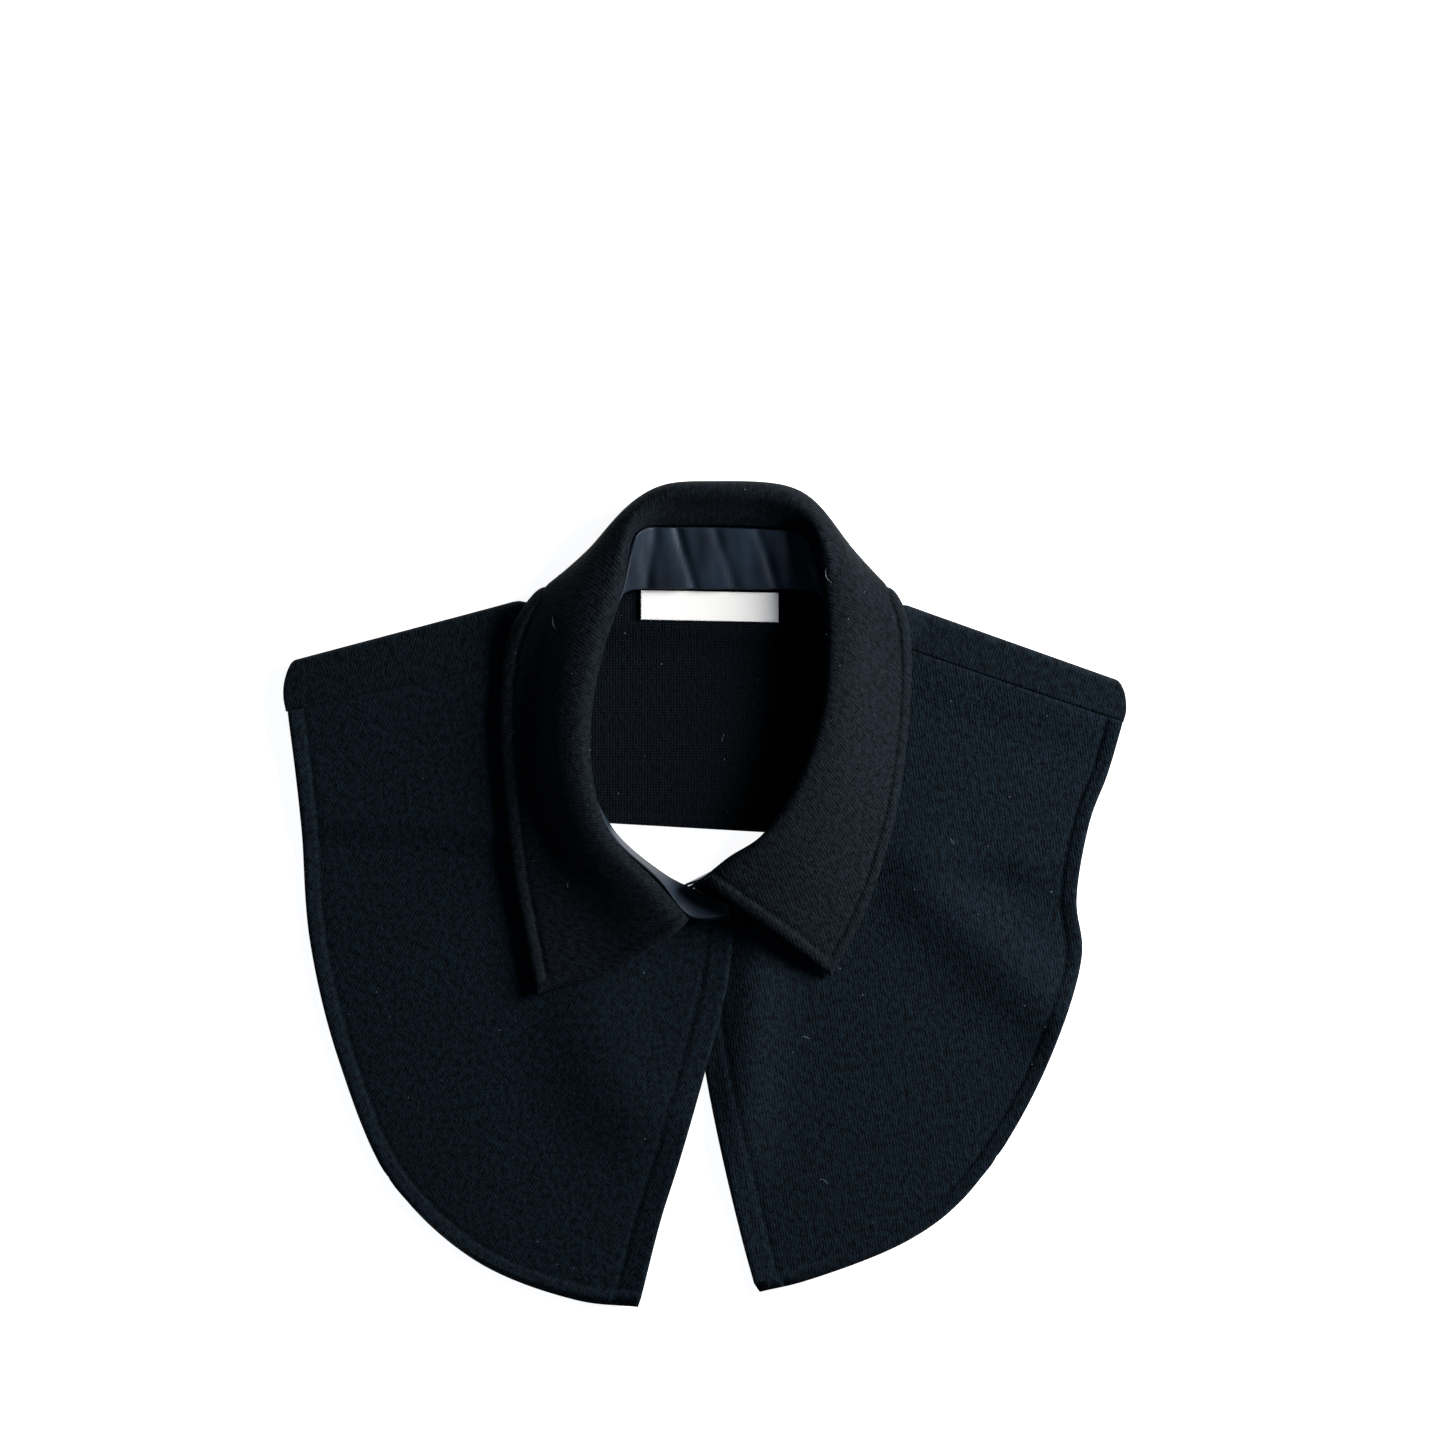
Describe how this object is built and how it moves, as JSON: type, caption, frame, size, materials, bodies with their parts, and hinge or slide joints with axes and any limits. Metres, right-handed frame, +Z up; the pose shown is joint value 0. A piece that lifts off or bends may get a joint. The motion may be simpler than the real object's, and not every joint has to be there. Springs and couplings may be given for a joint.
{
  "type": "detachable shirt collar",
  "caption": "Detachable shirt collar with a pointed fold-over leaf on a lined stand, two round-hemmed fronts lapped at the neck and a short back, laid flat.",
  "frame": {"origin": "on the table under the middle of the outline", "axes": "+X to the right across the shoulders as seen from above, +Y towards the back of the neck, +Z up from the table"},
  "size_m": [0.3201, 0.3133, 0.0223],
  "materials": {
    "black_wool": "matte double crepe wool",
    "black_satin": "silk satin lining",
    "white_tape": "woven label tape"
  },
  "bodies": {
    "root": {"back": "black_wool", "front_left": "black_wool", "front_right": "black_wool", "collar_leaf": "black_wool", "collar_stand": "black_wool", "stand_lining": "black_satin", "label": "white_tape"}
  },
  "joints": []
}
